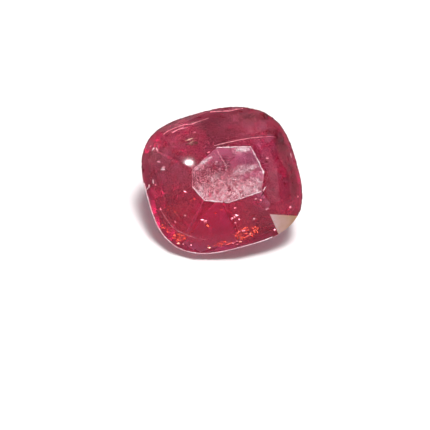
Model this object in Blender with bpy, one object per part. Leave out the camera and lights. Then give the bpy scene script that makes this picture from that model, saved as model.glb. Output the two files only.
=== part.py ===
"""Cushion-cut spinel, lying on a flat of its pavilion with its table tipped to the front.

The stone is worked the way a cutter works it. A preform with the girdle's outline is ground flat,
facet by facet, first the crown and then the pavilion, and is then laid down on the facet it rests on.
Shapes are cut in millimetres in the stone's own frame, with +Z through the table, and the finished
stone is set down in metres with +Z up.
"""

import math
from typing import NamedTuple

import bmesh
import bpy
from mathutils import Matrix, Vector

METRES_PER_MM = 0.001

# Driving dimensions in millimetres
GIRDLE_LENGTH = 7.60
GIRDLE_WIDTH = 6.98
GIRDLE_BAND = 0.30
CROWN_HEIGHT = 1.45
PAVILION_DEPTH = 3.40
CULET_TRIM = 0.06
CULET_OFFSET = (0.06, 0.10)
MAIN_FOOT = 0.52
PREFORM_MARGIN = 0.40
SAME_POINT = 1e-6

# Fullness of the outline's corners: 2 is an ellipse, and more is squarer
CORNER_FULLNESS = {"front_right": 3.16, "back_right": 2.56, "back_left": 3.06, "front_left": 2.82}
OUTLINE_SEGMENTS = 112


class Facet(NamedTuple):
    """A flat, by the direction it faces, its slope and how far from the axis it starts."""

    azimuth: float  # degrees, 0 along the stone's length
    slope: float  # degrees from the girdle plane
    reach: float  # mm from the axis, at the height that its tier is measured at


# Inner tier of the crown, each reach measured at the table
TABLE_TIER = (
    Facet(12, 17, 1.79),
    Facet(77, 30, 1.40),
    Facet(116, 22, 1.30),
    Facet(165, 24, 1.57),
    Facet(206, 23, 1.53),
    Facet(250, 22, 1.27),
    Facet(274, 20, 1.28),
    Facet(337, 25, 1.87),
)

# Outer tier of the crown, each reach measured at the girdle plane
GIRDLE_TIER = (
    Facet(2, 50, 3.82),
    Facet(42, 43, 4.17),
    Facet(78, 35, 3.53),
    Facet(89, 36.5, 3.49),
    Facet(94, 52, 3.44),
    Facet(128, 46, 4.17),
    Facet(150, 46, 4.10),
    Facet(176, 46, 3.84),
    Facet(200, 46, 3.96),
    Facet(230, 44, 3.98),
    Facet(258, 44, 3.64),
    Facet(280, 44, 3.65),
    Facet(292.5, 44, 3.86),
    Facet(309, 36, 4.29),
    Facet(345, 47, 4.00),
)

# Directions of the eight mains that run down to the culet, and of the break facets above them
RESTING_MAIN = 250
MAINS = (24, 70, 112, 160, 205, RESTING_MAIN, 293, 337)
BREAK_COUNT = 14
BREAK_START = 5
BREAK_SLOPES = (46, 48, 45)

# Finish
SPINEL_PINK = (0.42, 0.05, 0.09, 1.0)
SPINEL_INDEX = 1.718
SPINEL_ROUGHNESS = 0.06


def corner_fullness(angle):
    """Fullness of the corner that lies in this direction."""
    side = "right" if math.cos(angle) > 0 else "left"
    end = "back" if math.sin(angle) > 0 else "front"
    return CORNER_FULLNESS[f"{end}_{side}"]


def outline_point(angle):
    """Point of the girdle's outline in this direction from the axis."""
    power = corner_fullness(angle)
    across = abs(math.cos(angle) / (GIRDLE_LENGTH / 2)) ** power
    along = abs(math.sin(angle) / (GIRDLE_WIDTH / 2)) ** power
    radius = (across + along) ** (-1 / power)
    return Vector((radius * math.cos(angle), radius * math.sin(angle)))


def direction(azimuth):
    """Level unit vector at an azimuth in degrees."""
    angle = math.radians(azimuth)
    return Vector((math.cos(angle), math.sin(angle)))


def outline_reach(azimuth):
    """How far the outline stands from the axis when seen along an azimuth."""
    toward = direction(azimuth)
    turns = (step * math.tau / OUTLINE_SEGMENTS for step in range(OUTLINE_SEGMENTS))
    return max(outline_point(turn).dot(toward) for turn in turns)


def preform():
    """Straight-sided blank with the girdle's outline, a little taller than the stone."""
    blank = bmesh.new()
    top = CROWN_HEIGHT + PREFORM_MARGIN
    bottom = -PAVILION_DEPTH - PREFORM_MARGIN
    bmesh.ops.create_cone(
        blank, cap_ends=True, segments=OUTLINE_SEGMENTS, radius1=1, radius2=1, depth=top - bottom
    )
    for corner in blank.verts:
        edge = outline_point(math.atan2(corner.co.y, corner.co.x))
        corner.co = (edge.x, edge.y, top if corner.co.z > 0 else bottom)
    return blank


def grind(stone, point, outward):
    """Takes off all that lies beyond a plane, and closes the stone with the new flat."""
    geometry = stone.verts[:] + stone.edges[:] + stone.faces[:]
    cut = bmesh.ops.bisect_plane(
        stone, geom=geometry, dist=SAME_POINT, plane_co=point, plane_no=outward, clear_outer=True
    )
    rim = [item for item in cut["geom_cut"] if isinstance(item, bmesh.types.BMEdge)]
    if rim:
        bmesh.ops.contextual_create(stone, geom=rim)


def grind_facet(stone, facet, height, side):
    """Grinds one facet, whose reach is measured at a height: side is 1 on the crown, -1 below."""
    toward = direction(facet.azimuth)
    slope = math.radians(facet.slope)
    point = Vector((toward.x * facet.reach, toward.y * facet.reach, height))
    outward = Vector((toward.x * math.sin(slope), toward.y * math.sin(slope), side * math.cos(slope)))
    grind(stone, point, outward)


def cut_crown(stone):
    """Table, the tier around it, and the tier that runs down to the girdle."""
    grind(stone, Vector((0, 0, CROWN_HEIGHT)), Vector((0, 0, 1)))
    for facet in TABLE_TIER:
        grind_facet(stone, facet, CROWN_HEIGHT, 1)
    for facet in GIRDLE_TIER:
        grind_facet(stone, facet, 0, 1)


def main_slope(azimuth):
    """Slope in degrees of a main that joins the culet to its foot under the girdle."""
    run = outline_reach(azimuth) - direction(azimuth).dot(Vector(CULET_OFFSET))
    return math.degrees(math.atan2(PAVILION_DEPTH - MAIN_FOOT, run))


def cut_pavilion(stone):
    """Mains that meet at the culet, the break facets under the girdle, and the small flat culet."""
    for azimuth in MAINS:
        main = Facet(azimuth, main_slope(azimuth), outline_reach(azimuth))
        grind_facet(stone, main, -MAIN_FOOT, -1)
    for step in range(BREAK_COUNT):
        azimuth = BREAK_START + step * 360 / BREAK_COUNT
        slope = BREAK_SLOPES[step % len(BREAK_SLOPES)]
        grind_facet(stone, Facet(azimuth, slope, outline_reach(azimuth)), -GIRDLE_BAND, -1)
    grind(stone, Vector((0, 0, CULET_TRIM - PAVILION_DEPTH)), Vector((0, 0, -1)))


def lay_down(stone):
    """Turns the stone onto its resting main, centred over the origin, and scales it to metres."""
    to_front = Matrix.Rotation(math.radians(-90 - RESTING_MAIN), 4, "Z")
    onto_main = Matrix.Rotation(math.radians(main_slope(RESTING_MAIN)), 4, "X")
    stone.transform(Matrix.Scale(METRES_PER_MM, 4) @ onto_main @ to_front)
    lows = [min(corner.co[axis] for corner in stone.verts) for axis in range(3)]
    highs = [max(corner.co[axis] for corner in stone.verts) for axis in range(3)]
    centre = Vector(((lows[0] + highs[0]) / 2, (lows[1] + highs[1]) / 2, lows[2]))
    bmesh.ops.translate(stone, vec=-centre, verts=stone.verts)


def spinel_material():
    """Clear crimson-pink crystal with a polished surface."""
    material = bpy.data.materials.new("spinel_crystal")
    material.use_nodes = True
    surface = material.node_tree.nodes["Principled BSDF"]
    surface.inputs["Base Color"].default_value = SPINEL_PINK
    surface.inputs["Roughness"].default_value = SPINEL_ROUGHNESS
    surface.inputs["IOR"].default_value = SPINEL_INDEX
    surface.inputs["Transmission Weight"].default_value = 1.0
    surface.inputs["Metallic"].default_value = 0.0
    return material


def clear_scene():
    """Removes every object that is in the file."""
    for item in list(bpy.data.objects):
        bpy.data.objects.remove(item, do_unlink=True)


def build():
    """Cuts the stone and puts it in its collection."""
    clear_scene()
    parts = bpy.data.collections.new("cushion_cut_spinel")
    bpy.context.scene.collection.children.link(parts)
    stone = preform()
    cut_crown(stone)
    cut_pavilion(stone)
    lay_down(stone)
    bmesh.ops.recalc_face_normals(stone, faces=stone.faces)
    mesh = bpy.data.meshes.new("spinel")
    stone.to_mesh(mesh)
    stone.free()
    mesh.materials.append(spinel_material())
    parts.objects.link(bpy.data.objects.new("spinel", mesh))


build()
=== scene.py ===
"""Dresses the cushion-cut spinel: its polished and frosted flats, the wear on its edges, the crystal's
colour and what is sealed in it, and the studio that it lies in.

The stone is worked in millimetres in its own frame, with +Z through the table and +X along its
length, and is laid down in metres on the flat that it rests on. What the photograph shows at one
spot, such as a glint, is placed by its pixel in the 430 x 430 frame, on the crown or just under it.
"""

import logging
import math
import random
from collections.abc import Callable
from dataclasses import dataclass, field
from enum import Enum
from typing import ClassVar

import bmesh
import bpy
from mathutils import Matrix, Vector, noise
from mathutils.bvhtree import BVHTree


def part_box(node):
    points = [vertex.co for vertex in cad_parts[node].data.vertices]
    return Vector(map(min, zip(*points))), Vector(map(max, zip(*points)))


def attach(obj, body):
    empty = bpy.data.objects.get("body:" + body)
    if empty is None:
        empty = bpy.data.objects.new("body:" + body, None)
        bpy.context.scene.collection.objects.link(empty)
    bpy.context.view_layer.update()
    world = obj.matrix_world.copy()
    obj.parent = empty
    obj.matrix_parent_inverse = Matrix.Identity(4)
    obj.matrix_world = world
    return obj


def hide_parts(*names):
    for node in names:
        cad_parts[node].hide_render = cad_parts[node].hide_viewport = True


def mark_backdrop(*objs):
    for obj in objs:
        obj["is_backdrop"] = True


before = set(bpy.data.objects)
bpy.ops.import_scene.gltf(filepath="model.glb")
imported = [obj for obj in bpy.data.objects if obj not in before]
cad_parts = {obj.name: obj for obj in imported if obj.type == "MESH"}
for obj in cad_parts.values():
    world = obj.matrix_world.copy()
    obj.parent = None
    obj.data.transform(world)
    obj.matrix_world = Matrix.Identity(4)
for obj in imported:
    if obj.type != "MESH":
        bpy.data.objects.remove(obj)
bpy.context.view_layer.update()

log = logging.getLogger("spinel")

METRES_PER_MM = 0.001
BODY = "root"
STONE_NODE = "spinel"
PHOTO_SIZE = 430

# Millimetres within which a corner lies on a cut, and the cosine of directions that are the same.
CUT_TOLERANCE = 1e-6
SAME_DIRECTION = 0.99999

# Sockets that nodes are asked for by number, because they share their name with others.
MIX_FIRST, MIX_SECOND, MIX_RESULT = 6, 7, 2
RANDOM_VECTOR_MOST, RANDOM_LEAST, RANDOM_MOST, RANDOM_RESULT = 1, 2, 3, 1

# Octaves of a Noise Texture, its middle value, and the span that most of its values lie in.
SMOOTH, UNEVEN, CRISP = 1.0, 3.0, 4.0
NOISE_MIDDLE = 0.5
NOISE_SPAN = (0.35, 0.65)

Pixel = tuple[float, float]
Colour = tuple[float, float, float]


class Wiring:
    """Adds nodes to a tree, so that a finish or a pattern reads as a formula."""

    def __init__(self, tree: bpy.types.NodeTree) -> None:
        """Keeps the tree that the nodes go in."""
        self.tree = tree

    def node(self, kind: str, inputs: dict | None = None, **settings: object) -> bpy.types.Node:
        """Adds a node.

        Args:
            kind: The name of its type.
            inputs: Its sockets' values, or the sockets that feed them, by name or number.
            settings: The node's own settings.

        Returns:
            The node.
        """
        made = self.tree.nodes.new(kind)
        for name, value in settings.items():
            setattr(made, name, value)
        for key, value in (inputs or {}).items():
            if isinstance(value, bpy.types.NodeSocket):
                self.tree.links.new(value, made.inputs[key])
            else:
                made.inputs[key].default_value = value
        return made

    def math(self, operation: str, *values: object) -> bpy.types.NodeSocket:
        """Result of a Math node on one, two or three values or sockets."""
        made = self.node("ShaderNodeMath", dict(enumerate(values)), operation=operation)
        return made.outputs["Value"]

    def noise(self, place: bpy.types.NodeSocket, scale: float, detail: float) -> bpy.types.NodeSocket:
        """Value of a Noise Texture at a place."""
        inputs = {"Vector": place, "Scale": scale, "Detail": detail}
        return self.node("ShaderNodeTexNoise", inputs).outputs["Fac"]

    def remap(self, value: bpy.types.NodeSocket, span: tuple, onto: tuple) -> bpy.types.NodeSocket:
        """Value brought from one span onto another, and held inside it."""
        inputs = {
            "Value": value, "From Min": span[0], "From Max": span[1], "To Min": onto[0], "To Max": onto[1]
        }
        return self.node("ShaderNodeMapRange", inputs).outputs["Result"]

    def along(self, place: bpy.types.NodeSocket, toward: object) -> bpy.types.NodeSocket:
        """How far a place lies along a direction."""
        made = self.node("ShaderNodeVectorMath", {0: place, 1: toward}, operation="DOT_PRODUCT")
        return made.outputs["Value"]

    def blend(self, factor: bpy.types.NodeSocket, first: Colour, second: Colour) -> bpy.types.NodeSocket:
        """Colour between two, by a factor that is 0 at the first."""
        inputs = {"Factor": factor, MIX_FIRST: (*first, 1.0), MIX_SECOND: (*second, 1.0)}
        return self.node("ShaderNodeMix", inputs, data_type="RGBA").outputs[MIX_RESULT]

    def relief(
        self, strength: object, depth: float, height: bpy.types.NodeSocket, **base: bpy.types.NodeSocket
    ) -> bpy.types.NodeSocket:
        """Adds a Bump node.

        Args:
            strength: How much of the relief shows, as a value or a socket.
            depth: Its depth in millimetres.
            height: The socket with its height.
            base: As Normal, the socket with the normal that it is raised on.

        Returns:
            The socket with the normal.
        """
        inputs = {"Strength": strength, "Distance": depth * METRES_PER_MM, "Height": height, **base}
        return self.node("ShaderNodeBump", inputs).outputs["Normal"]

    def link(self, source: bpy.types.NodeSocket, node: bpy.types.Node, socket: str) -> None:
        """Feeds a socket into an input of a node that is already there."""
        self.tree.links.new(source, node.inputs[socket])


def new_material(name: str) -> tuple[bpy.types.Material, Wiring, bpy.types.Node]:
    """Starts a material.

    Args:
        name: What it is called.

    Returns:
        The material, its wiring, and the shader of its surface.
    """
    material = bpy.data.materials.new(name)
    material.use_nodes = True
    return material, Wiring(material.node_tree), material.node_tree.nodes["Principled BSDF"]


class Tier(Enum):
    """A set of flats that is ground and finished alike: how frosted they are, and how rubbed."""

    TABLE = (0.26, 1.0)
    CROWN = (0.00, 0.0)
    MAIN = (0.65, 0.0)
    BREAK = (0.70, 0.0)
    CULET = (0.70, 0.0)
    GIRDLE = (1.00, 0.0)
    WORN_EDGE = (0.22, 0.0)

    @property
    def frost(self) -> float:
        """From 0, polished, to 1, as rough as the girdle."""
        return self.value[0]

    @property
    def rubbed(self) -> float:
        """1 where wear has left the front of the flat rougher than its back."""
        return self.value[1]


@dataclass(frozen=True)
class Facet:
    """A flat, by the direction it faces, its slope and how far from the axis it starts.

    Args:
        azimuth: Degrees round the stone, 0 along its length.
        slope: Degrees from the girdle plane.
        reach: Millimetres from the axis, at the height that its tier is measured at.
    """

    azimuth: float
    slope: float
    reach: float

    def outward(self, side: int) -> Vector:
        """Which way the flat faces.

        Args:
            side: 1 on the crown and -1 on the pavilion.

        Returns:
            Its unit normal.
        """
        slope = math.radians(self.slope)
        toward = direction(self.azimuth)
        return Vector((toward.x * math.sin(slope), toward.y * math.sin(slope), side * math.cos(slope)))

    def height(self, place: Vector, base: float) -> float:
        """Height of a crown flat above a place in the girdle plane, where its reach holds at base."""
        beyond = direction(self.azimuth).dot(place) - self.reach
        return base - math.tan(math.radians(self.slope)) * beyond


def direction(azimuth: float) -> Vector:
    """Level unit vector at an azimuth in degrees."""
    angle = math.radians(azimuth)
    return Vector((math.cos(angle), math.sin(angle)))


@dataclass
class CutStone:
    """The crystal as it was cut, by its driving dimensions in millimetres and degrees.

    Args:
        girdle_length: Length across the girdle.
        girdle_width: Width across the girdle.
        girdle_band: Height of the girdle.
        crown_height: From the girdle's top to the table.
        pavilion_depth: From the girdle's top to where the mains meet.
        culet_trim: How much of that point the culet takes off.
        culet_offset: Where the point lies from the axis.
        main_foot: How far under the girdle's top the mains start.
        preform_margin: How far the blank stands over at either end.
        outline_segments: Sides of the blank.
        fullness: How square each corner of the outline is, where 2 is an ellipse.
        table_tier: The facets round the table, with their reach at its height.
        girdle_tier: The facets that run down to the girdle, with their reach at its top.
        resting_main: Azimuth of the main that the stone lies on.
        mains: Azimuths of the pavilion's mains.
        break_count: How many break facets there are round the pavilion.
        break_start: Azimuth of the first of them.
        break_slopes: Their slopes, by turns.
        wear_width: Width of the strip that an edge is worn to.
        wear_least_angle: How sharply two flats have to meet for their edge to be worn.
    """

    girdle_length: float = 7.60
    girdle_width: float = 6.98
    girdle_band: float = 0.30
    crown_height: float = 1.45
    pavilion_depth: float = 3.40
    culet_trim: float = 0.06
    culet_offset: tuple[float, float] = (0.06, 0.10)
    main_foot: float = 0.52
    preform_margin: float = 0.40
    outline_segments: int = 224
    fullness: dict[str, float] = field(
        default_factory=lambda: {
            "front_right": 3.16, "back_right": 2.56, "back_left": 3.06, "front_left": 2.82
        }
    )
    table_tier: tuple[Facet, ...] = (
        Facet(12, 17, 1.79),
        Facet(77, 30, 1.40),
        Facet(116, 22, 1.30),
        Facet(165, 24, 1.57),
        Facet(206, 23, 1.53),
        Facet(250, 22, 1.27),
        Facet(274, 20, 1.28),
        Facet(337, 25, 1.87),
    )
    girdle_tier: tuple[Facet, ...] = (
        Facet(2, 50, 3.82),
        Facet(42, 43, 4.17),
        Facet(78, 35, 3.53),
        Facet(89, 36.5, 3.49),
        Facet(94, 52, 3.44),
        Facet(128, 46, 4.17),
        Facet(150, 46, 4.10),
        Facet(176, 46, 3.84),
        Facet(200, 46, 3.96),
        Facet(230, 44, 3.98),
        Facet(258, 44, 3.64),
        Facet(280, 44, 3.65),
        Facet(292.5, 44, 3.86),
        Facet(309, 36, 4.29),
        Facet(345, 47, 4.00),
    )
    resting_main: float = 250
    mains: tuple[float, ...] = (24, 70, 112, 160, 205, 250, 293, 337)
    break_count: int = 14
    break_start: float = 5
    break_slopes: tuple[float, ...] = (46, 48, 45)
    wear_width: float = 0.030
    wear_least_angle: float = 28.0

    def outline_point(self, angle: float) -> Vector:
        """Point of the girdle's outline.

        Args:
            angle: Its direction from the axis, in radians.

        Returns:
            The point, in the girdle plane.
        """
        side = "right" if math.cos(angle) > 0 else "left"
        end = "back" if math.sin(angle) > 0 else "front"
        power = self.fullness[f"{end}_{side}"]
        across = abs(math.cos(angle) / (self.girdle_length / 2)) ** power
        along = abs(math.sin(angle) / (self.girdle_width / 2)) ** power
        radius = (across + along) ** (-1 / power)
        return Vector((radius * math.cos(angle), radius * math.sin(angle)))

    def outline_reach(self, azimuth: float) -> float:
        """How far the outline stands from the axis.

        Args:
            azimuth: Degrees round the stone of the direction that it is measured in.

        Returns:
            Its reach in millimetres.
        """
        toward = direction(azimuth)
        steps = range(self.outline_segments)
        return max(self.outline_point(step * math.tau / self.outline_segments).dot(toward) for step in steps)

    def main_slope(self, azimuth: float) -> float:
        """Slope in degrees of a main that joins the culet to its foot under the girdle."""
        run = self.outline_reach(azimuth) - direction(azimuth).dot(Vector(self.culet_offset))
        return math.degrees(math.atan2(self.pavilion_depth - self.main_foot, run))

    def crown_at(self, place: Vector) -> Vector:
        """Point of the crown's surface.

        Args:
            place: The place in the girdle plane that it lies over.

        Returns:
            The point, where the lowest of the flats over that place is.
        """
        heights = [self.crown_height]
        heights += [facet.height(place, self.crown_height) for facet in self.table_tier]
        heights += [facet.height(place, 0.0) for facet in self.girdle_tier]
        return Vector((place.x, place.y, min(heights)))

    def preform(self) -> bmesh.types.BMesh:
        """Straight-sided blank with the girdle's outline, a little taller than the stone.

        Returns:
            A closed mesh in millimetres, with layers that hold each face's finish.
        """
        blank = bmesh.new()
        blank.faces.layers.float.new("frost")
        blank.faces.layers.float.new("rubbed")
        top = self.crown_height + self.preform_margin
        bottom = -self.pavilion_depth - self.preform_margin
        bmesh.ops.create_cone(
            blank, cap_ends=True, segments=self.outline_segments, radius1=1, radius2=1, depth=top - bottom
        )
        for corner in blank.verts:
            edge = self.outline_point(math.atan2(corner.co.y, corner.co.x))
            corner.co = (edge.x, edge.y, top if corner.co.z > 0 else bottom)
        frost = blank.faces.layers.float["frost"]
        for face in blank.faces:
            face[frost] = Tier.GIRDLE.frost
        return blank

    def grind(self, stone: bmesh.types.BMesh, point: Vector, outward: Vector, tier: Tier) -> None:
        """Takes off all that lies beyond a plane, and closes the stone with the new flat.

        Args:
            stone: The mesh that is ground.
            point: Any point of the plane.
            outward: The plane's normal, away from the stone.
            tier: What the new flat is finished as.
        """
        geometry = stone.verts[:] + stone.edges[:] + stone.faces[:]
        cut = bmesh.ops.bisect_plane(
            stone, geom=geometry, dist=CUT_TOLERANCE, plane_co=point, plane_no=outward, clear_outer=True
        )
        rim = [item for item in cut["geom_cut"] if isinstance(item, bmesh.types.BMEdge)]
        if rim:
            frost = stone.faces.layers.float["frost"]
            rubbed = stone.faces.layers.float["rubbed"]
            for flat in bmesh.ops.contextual_create(stone, geom=rim)["faces"]:
                flat[frost] = tier.frost
                flat[rubbed] = tier.rubbed

    def grind_facet(
        self, stone: bmesh.types.BMesh, facet: Facet, height: float, side: int, tier: Tier
    ) -> None:
        """Grinds one facet whose reach is measured at a height.

        Args:
            stone: The mesh that is ground.
            facet: The flat to grind.
            height: Millimetres above the girdle plane at which its reach holds.
            side: 1 on the crown and -1 on the pavilion.
            tier: What the new flat is finished as.
        """
        toward = direction(facet.azimuth)
        point = Vector((toward.x * facet.reach, toward.y * facet.reach, height))
        self.grind(stone, point, facet.outward(side), tier)

    def cut_crown(self, stone: bmesh.types.BMesh) -> None:
        """Grinds the table, the tier round it, and the tier that runs down to the girdle.

        Args:
            stone: The mesh that is ground.
        """
        self.grind(stone, Vector((0, 0, self.crown_height)), Vector((0, 0, 1)), Tier.TABLE)
        for facet in self.table_tier:
            self.grind_facet(stone, facet, self.crown_height, 1, Tier.CROWN)
        for facet in self.girdle_tier:
            self.grind_facet(stone, facet, 0, 1, Tier.CROWN)

    def cut_pavilion(self, stone: bmesh.types.BMesh) -> None:
        """Grinds the mains that meet at the culet, the break facets above them, and the culet.

        Args:
            stone: The mesh that is ground.
        """
        for azimuth in self.mains:
            main = Facet(azimuth, self.main_slope(azimuth), self.outline_reach(azimuth))
            self.grind_facet(stone, main, -self.main_foot, -1, Tier.MAIN)
        for step in range(self.break_count):
            azimuth = self.break_start + step * 360 / self.break_count
            slope = self.break_slopes[step % len(self.break_slopes)]
            facet = Facet(azimuth, slope, self.outline_reach(azimuth))
            self.grind_facet(stone, facet, -self.girdle_band, -1, Tier.BREAK)
        culet = Vector((0, 0, self.culet_trim - self.pavilion_depth))
        self.grind(stone, culet, Vector((0, 0, -1)), Tier.CULET)

    def wear_edges(self, stone: bmesh.types.BMesh) -> None:
        """Grinds each sharp edge to a narrow strip, as handling and polishing leave it.

        Args:
            stone: The mesh that is ground.
        """
        least = math.radians(self.wear_least_angle)
        stone.normal_update()
        strips = []
        for edge in stone.edges:
            turn = edge.calc_face_angle(0)
            if turn > least:
                outward = (edge.link_faces[0].normal + edge.link_faces[1].normal).normalized()
                middle = (edge.verts[0].co + edge.verts[1].co) / 2
                depth = self.wear_width / 2 * math.tan(turn / 2)
                strips.append((middle - outward * depth, outward))
        for point, outward in strips:
            self.grind(stone, point, outward, Tier.WORN_EDGE)

    def cut(self) -> bmesh.types.BMesh:
        """Cuts all the facets.

        Returns:
            The stone, in millimetres in its own frame, its edges still sharp.
        """
        stone = self.preform()
        self.cut_crown(stone)
        self.cut_pavilion(stone)
        return stone

    def meeting(self, stone: bmesh.types.BMesh, one: Vector, other: Vector) -> list[Vector]:
        """Finds the edge where two flats meet.

        Args:
            stone: The mesh, its edges still sharp.
            one: Normal of the one flat.
            other: Normal of the other flat.

        Returns:
            The edge's two ends, or nothing where the flats don't meet.
        """
        stone.normal_update()
        for edge in stone.edges:
            normals = [face.normal for face in edge.link_faces]
            for first, second in (normals, normals[::-1]):
                if first.dot(one) > SAME_DIRECTION and second.dot(other) > SAME_DIRECTION:
                    return [corner.co.copy() for corner in edge.verts]
        return []

    def turn_down(self) -> Matrix:
        """Rotation that brings the resting main to face straight down, at the front."""
        to_front = Matrix.Rotation(math.radians(-90 - self.resting_main), 4, "Z")
        onto_main = Matrix.Rotation(math.radians(self.main_slope(self.resting_main)), 4, "X")
        return onto_main @ to_front


@dataclass(frozen=True)
class Setting:
    """How the stone's own frame, in millimetres, lies in the world, in metres.

    Args:
        place: The 4x4 matrix from one to the other.
    """

    place: Matrix

    @classmethod
    def under(cls, stone: CutStone, sharp: bmesh.types.BMesh) -> "Setting":
        """Lays the sharp-edged stone where the CAD stone lies.

        Args:
            stone: The stone's dimensions.
            sharp: Its mesh, cut but not worn, so that its box is the CAD stone's.

        Returns:
            The setting that makes the two boxes meet.
        """
        turned = Matrix.Scale(METRES_PER_MM, 4) @ stone.turn_down()
        corners = [turned @ corner.co for corner in sharp.verts]
        middle = Vector(
            [(min(c[axis] for c in corners) + max(c[axis] for c in corners)) / 2 for axis in range(3)]
        )
        low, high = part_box(STONE_NODE)
        return cls(Matrix.Translation((Vector(low) + Vector(high)) / 2 - middle) @ turned)

    def point(self, x: float, y: float, z: float) -> Vector:
        """World point of a place in the stone."""
        return self.place @ Vector((x, y, z))

    def along(self, toward: Vector) -> Vector:
        """World direction of a direction in the stone."""
        return (self.place.to_3x3() @ toward).normalized()

    def millimetres(self, wiring: Wiring) -> bpy.types.NodeSocket:
        """Adds the nodes that give a shaded point in the stone's own frame.

        Args:
            wiring: The material's nodes.

        Returns:
            The socket with the point, in millimetres.
        """
        shift, turn, scale = self.place.inverted().decompose()
        place = wiring.node("ShaderNodeTexCoord").outputs["Object"]
        inputs = {"Vector": place, "Location": shift, "Rotation": turn.to_euler(), "Scale": scale}
        return wiring.node("ShaderNodeMapping", inputs).outputs["Vector"]


@dataclass(frozen=True)
class CrystalFinish:
    """Clear crimson-pink crystal, polished on its facets and frosted where it is worn or unpolished.

    Args:
        index: Refractive index of spinel.
        colour: How little of each channel is absorbed, where 1 is none.
        density: How strongly a channel whose colour is 0 is absorbed, per metre.
        polished: Roughness of a well polished facet.
        frosted: Roughness of an unpolished surface.
        rub_toward: The direction, in the stone, in which the rubbing on the table gets worse.
        rub_between: Millimetres that way at which the rubbing starts and is full.
        spared: Share of the frost that is missing where the rubbing hasn't started.
        patchiness: How much of the frost the best and the worst patches have.
        pit_scale: Pits in a millimetre.
        patch_scale: Patches of better and worse polish in a millimetre.
        swell_scale: Waves of an unpolished flat in a millimetre.
        swell_from: How frosted a flat has to be to start waving, and to wave in full.
        pit_depth: Millimetres.
        swell_depth: Millimetres.
    """

    index: float = 1.718
    colour: tuple[float, float, float, float] = (0.95, 0.14, 0.54, 1.0)
    density: float = 500.0
    polished: float = 0.03
    frosted: float = 0.55
    rub_toward: tuple[float, float, float] = (0.25, -0.97, 0.0)
    rub_between: tuple[float, float] = (-0.4, 0.8)
    spared: float = 0.9
    patchiness: tuple[float, float] = (0.6, 1.25)
    pit_scale: float = 9.0
    patch_scale: float = 2.2
    swell_scale: float = 0.9
    swell_from: tuple[float, float] = (0.52, 0.62)
    pit_depth: float = 0.004
    swell_depth: float = 0.10

    def roughness(self, wiring: Wiring, place: bpy.types.NodeSocket) -> tuple:
        """Adds the nodes for how frosted the surface is.

        Args:
            wiring: The material's nodes.
            place: The shaded point in the stone's frame.

        Returns:
            The sockets with the flat's frost, with the frost as worn here, and with the roughness.
        """
        frost = wiring.node("ShaderNodeAttribute", attribute_name="frost").outputs["Fac"]
        rubbed = wiring.node("ShaderNodeAttribute", attribute_name="rubbed").outputs["Fac"]
        spared = wiring.remap(wiring.along(place, self.rub_toward), self.rub_between, (self.spared, 0.0))
        left = wiring.math("SUBTRACT", 1.0, wiring.math("MULTIPLY", rubbed, spared))
        patchy = wiring.remap(wiring.noise(place, self.patch_scale, UNEVEN), NOISE_SPAN, self.patchiness)
        worn = wiring.math("MULTIPLY", wiring.math("MULTIPLY", frost, left), patchy)
        return frost, worn, wiring.remap(worn, (0.0, 1.0), (self.polished, self.frosted))

    def material(self, setting: Setting) -> bpy.types.Material:
        """Builds the material.

        Args:
            setting: Where the stone lies.

        Returns:
            A material that transmits light, with its colour in the volume.
        """
        material, wiring, surface = new_material("spinel_crystal")
        surface.inputs["Base Color"].default_value = (1.0, 1.0, 1.0, 1.0)
        surface.inputs["Metallic"].default_value = 0.0
        surface.inputs["Transmission Weight"].default_value = 1.0
        surface.inputs["IOR"].default_value = self.index
        inside = wiring.node("ShaderNodeVolumeAbsorption", {"Color": self.colour, "Density": self.density})
        wiring.link(inside.outputs["Volume"], wiring.tree.nodes["Material Output"], "Volume")
        place = setting.millimetres(wiring)
        frost, worn, rough = self.roughness(wiring, place)
        wiring.link(rough, surface, "Roughness")
        waving = wiring.remap(frost, self.swell_from, (0.0, 1.0))
        waves = wiring.relief(waving, self.swell_depth, wiring.noise(place, self.swell_scale, SMOOTH))
        pits = wiring.noise(place, self.pit_scale, CRISP)
        wiring.link(wiring.relief(worn, self.pit_depth, pits, Normal=waves), surface, "Normal")
        return material


@dataclass(frozen=True)
class GrainFinish:
    """How a grain of mineral is finished, whatever its tone.

    Args:
        index: Its refractive index.
        mottle_scale: Patches of its lighter and darker colour in a millimetre.
        rougher: How much the darker patches are rougher than the lighter ones.
        crumb_scale: Crumbs on its surface in a millimetre.
        crumb_depth: Their depth in millimetres.
        crumb_strength: How much of them shows.
    """

    index: float = 1.5
    mottle_scale: float = 6.0
    rougher: float = 0.15
    crumb_scale: float = 20.0
    crumb_depth: float = 0.004
    crumb_strength: float = 0.5

    def material(self, setting: Setting, name: str, tone: tuple) -> bpy.types.Material:
        """Builds the material.

        Args:
            setting: Where the stone lies.
            name: What it is called.
            tone: Its light and dark colours, its roughness, and whether it mirrors light.

        Returns:
            A material whose colour and sheen waver from grain to grain.
        """
        light, dark, rough, mirrors = tone
        material, wiring, surface = new_material(name)
        place = setting.millimetres(wiring)
        mottle = wiring.remap(wiring.noise(place, self.mottle_scale, UNEVEN), NOISE_SPAN, (0.0, 1.0))
        sheen = wiring.remap(mottle, (0.0, 1.0), (rough + self.rougher, rough))
        crumbs = wiring.noise(place, self.crumb_scale, UNEVEN)
        wiring.link(wiring.blend(mottle, dark, light), surface, "Base Color")
        wiring.link(sheen, surface, "Roughness")
        wiring.link(wiring.relief(self.crumb_strength, self.crumb_depth, crumbs), surface, "Normal")
        surface.inputs["IOR"].default_value = self.index
        surface.inputs["Metallic"].default_value = float(mirrors)
        return material


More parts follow.
